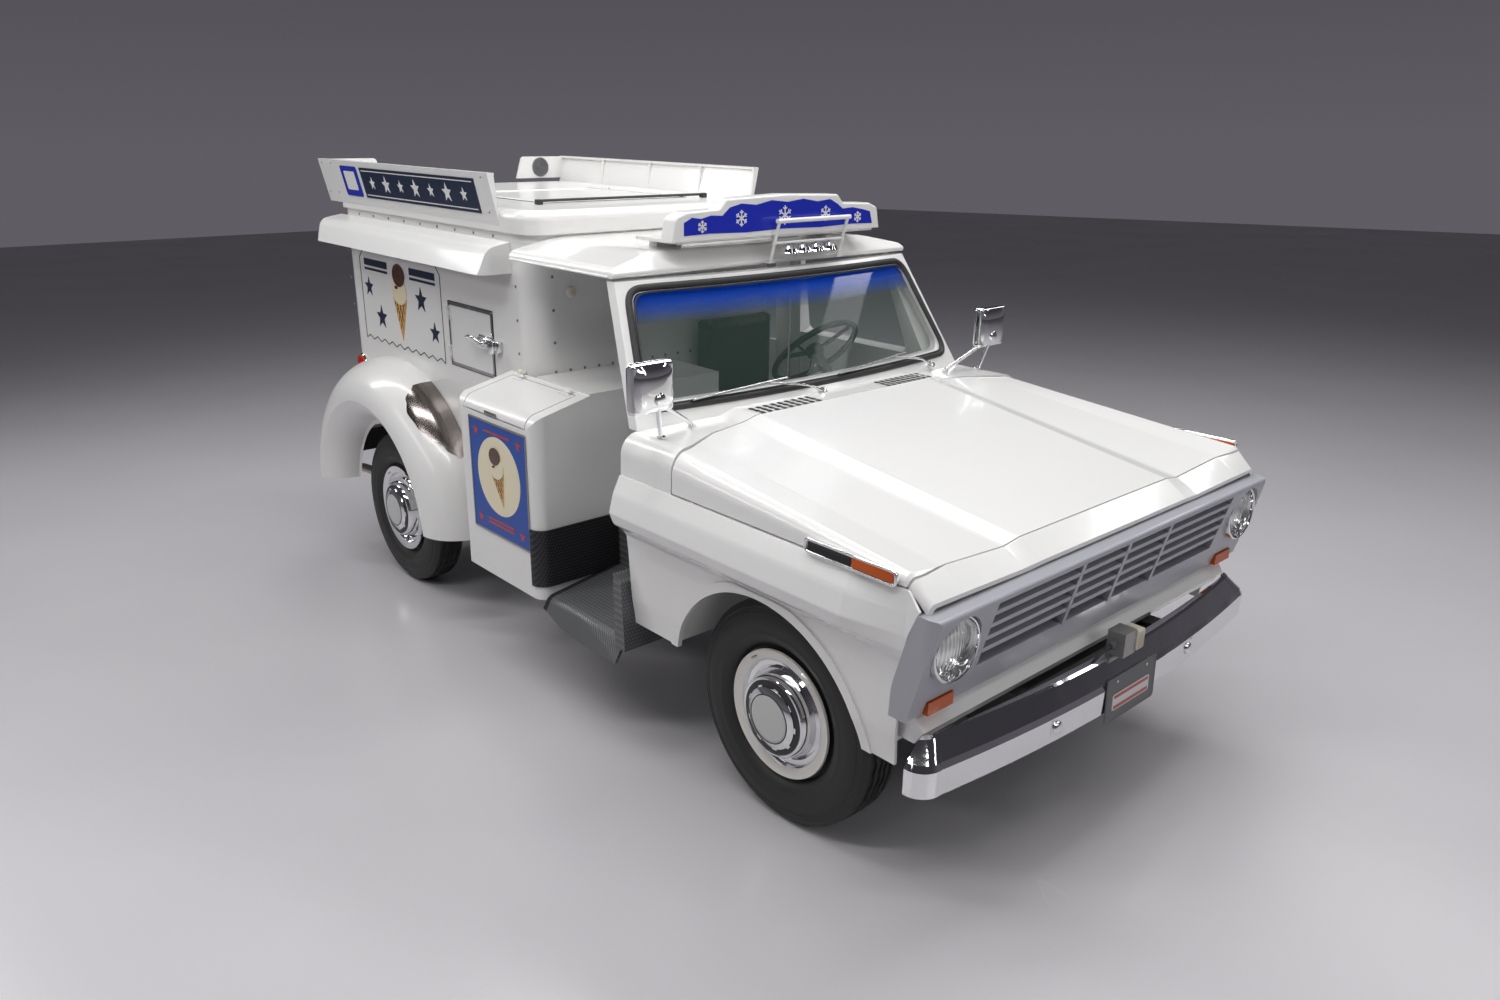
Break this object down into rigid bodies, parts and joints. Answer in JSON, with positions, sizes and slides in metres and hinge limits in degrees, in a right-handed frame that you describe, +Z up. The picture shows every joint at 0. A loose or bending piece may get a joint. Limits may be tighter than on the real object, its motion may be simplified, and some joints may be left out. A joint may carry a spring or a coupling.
{
  "type": "ice-cream vending truck",
  "caption": "Pickup-based ice-cream vending truck with an open serving side, a freezer body with hinged doors and hatch, steering and free-rolling wheels.",
  "frame": {"origin": "on the ground below the middle of the whole truck", "axes": "+X towards the nose, +Y to the truck's left, +Z up"},
  "size_m": [4.4646, 2.006, 2.1311],
  "materials": {
    "amber": "gloss",
    "bare_steel": "worn",
    "body_white": "gloss",
    "chrome": "polished",
    "frame_black": "dull",
    "freezer_white": "gloss",
    "glass": "clear",
    "grille_silver": "satin",
    "inlet_beige": "matt",
    "lens": "clear",
    "rubber": "matt",
    "seat_black": "matt",
    "tread_plate": "dull",
    "tyre": "matt",
    "wheel_cream": "gloss"
  },
  "bodies": {
    "truck": {"awnings": "freezer_white", "bell_rack": "freezer_white", "bells": "chrome", "box_floor": "freezer_white", "box_front_wall": "freezer_white", "box_rear_wall": "freezer_white", "box_roof": "freezer_white", "box_side_left": "freezer_white", "box_side_right": "freezer_white", "cab_corner_left": "body_white", "cab_floor": "body_white", "cab_roof": "body_white", "cowl": "body_white", "dashboard": "rubber", "engine_block": "frame_black", "exhaust_pipe": "bare_steel", "frame_rails": "frame_black", "front_axle_beams": "frame_black", "front_bumper": "chrome", "front_cabinet": "freezer_white", "front_fender_left": "body_white", "front_fender_right": "body_white", "front_valance": "body_white", "grille": "grille_silver", "headlamps": "lens", "mirrors": "chrome", "nose_panel": "body_white", "power_inlet": "inlet_beige", "rear_axle": "frame_black", "rear_bumper": "frame_black", "rear_fenders": "freezer_white", "roof_sign": "freezer_white", "seat_back": "seat_black", "seat_cushion": "seat_black", "side_lockers": "freezer_white", "side_step": "tread_plate", "sign_boards": "freezer_white", "signal_lamps": "amber", "springs": "frame_black", "steering_wheel": "rubber", "windshield": "glass"},
    "knuckle_right": {"steering_knuckle_right": "frame_black"},
    "knuckle_left": {"steering_knuckle_left": "frame_black"},
    "steering_link": {"tie_rod": "frame_black"},
    "hood_panel": {"hood": "body_white", "hood_side_markers": "chrome"},
    "cab_door": {"driver_door": "body_white"},
    "side_door": {"freezer_door_right": "freezer_white"},
    "back_door": {"rear_door": "freezer_white"},
    "hatch": {"roof_hatch": "freezer_white"},
    "lid_right": {"locker_lid_right": "freezer_white"},
    "lid_left": {"locker_lid_left": "freezer_white"},
    "wheel_front_right": {"wheel_disc_front_right": "wheel_cream", "tyre_front_right": "tyre"},
    "wheel_front_left": {"wheel_disc_front_left": "wheel_cream", "tyre_front_left": "tyre"},
    "wheel_rear_right": {"wheel_disc_rear_right": "wheel_cream", "tyre_rear_right": "tyre"},
    "wheel_rear_left": {"wheel_disc_rear_left": "wheel_cream", "tyre_rear_left": "tyre"}
  },
  "joints": [
    {"name": "steer_left", "type": "hinge", "parent": "truck", "child": "knuckle_left", "pos_m": [1.46133, 0.63, 0.37002], "axis": [0.0349, 0, 0.9994], "range_deg": [-28, 28]},
    {"name": "steer_right", "type": "hinge", "parent": "truck", "child": "knuckle_right", "pos_m": [1.46133, -0.63, 0.37002], "axis": [0.0349, 0, 0.9994], "range_deg": [-28, 28]},
    {"name": "tie_rod_eye", "type": "hinge", "parent": "knuckle_left", "child": "steering_link", "pos_m": [1.3108, 0.63, 0.30023], "axis": [0.0349, 0, 0.9994], "range_deg": [-28, 28]},
    {"name": "wheel_front_right_spin", "type": "hinge", "parent": "knuckle_right", "child": "wheel_front_right", "pos_m": [1.4622, -0.755, 0.395], "axis": [0, 1, 0], "continuous": true},
    {"name": "wheel_front_left_spin", "type": "hinge", "parent": "knuckle_left", "child": "wheel_front_left", "pos_m": [1.4622, 0.755, 0.395], "axis": [0, 1, 0], "continuous": true},
    {"name": "wheel_rear_right_spin", "type": "hinge", "parent": "truck", "child": "wheel_rear_right", "pos_m": [-1.4628, -0.671, 0.395], "axis": [0, 1, 0], "continuous": true},
    {"name": "wheel_rear_left_spin", "type": "hinge", "parent": "truck", "child": "wheel_rear_left", "pos_m": [-1.4628, 0.671, 0.395], "axis": [0, 1, 0], "continuous": true},
    {"name": "hood_hinge", "type": "hinge", "parent": "truck", "child": "hood_panel", "pos_m": [0.98668, 0, 1.24811], "axis": [0, -1, 0], "range_deg": [0, 50]},
    {"name": "cab_door_hinge", "type": "hinge", "parent": "truck", "child": "cab_door", "pos_m": [0.79881, 0.999, 0.9685], "axis": [-0.0349, 0, -0.9994], "range_deg": [0, 65]},
    {"name": "side_door_hinge", "type": "hinge", "parent": "truck", "child": "side_door", "pos_m": [-0.88238, -0.688, 1.36492], "axis": [-0.0349, 0, -0.9994], "range_deg": [0, 110]},
    {"name": "back_door_hinge", "type": "hinge", "parent": "truck", "child": "back_door", "pos_m": [-1.99401, 0.417, 1.36621], "axis": [-0.0349, 0, -0.9994], "range_deg": [0, 110]},
    {"name": "hatch_hinge", "type": "hinge", "parent": "truck", "child": "hatch", "pos_m": [-0.87459, 0.397, 1.96051], "axis": [-0.9994, 0, 0.0349], "range_deg": [0, 80]},
    {"name": "lid_right_hinge", "type": "hinge", "parent": "truck", "child": "lid_right", "pos_m": [-0.05379, -0.70982, 1.25273], "axis": [-0.9994, 0, 0.0349], "range_deg": [0, 75]},
    {"name": "lid_left_hinge", "type": "hinge", "parent": "truck", "child": "lid_left", "pos_m": [-0.41857, 0.70982, 1.26547], "axis": [0.9994, 0, -0.0349], "range_deg": [0, 75]}
  ],
  "couplings": [
    {"joint": "steer_right", "follows": "steer_left", "ratio": 1},
    {"joint": "tie_rod_eye", "follows": "steer_left", "ratio": -1}
  ]
}
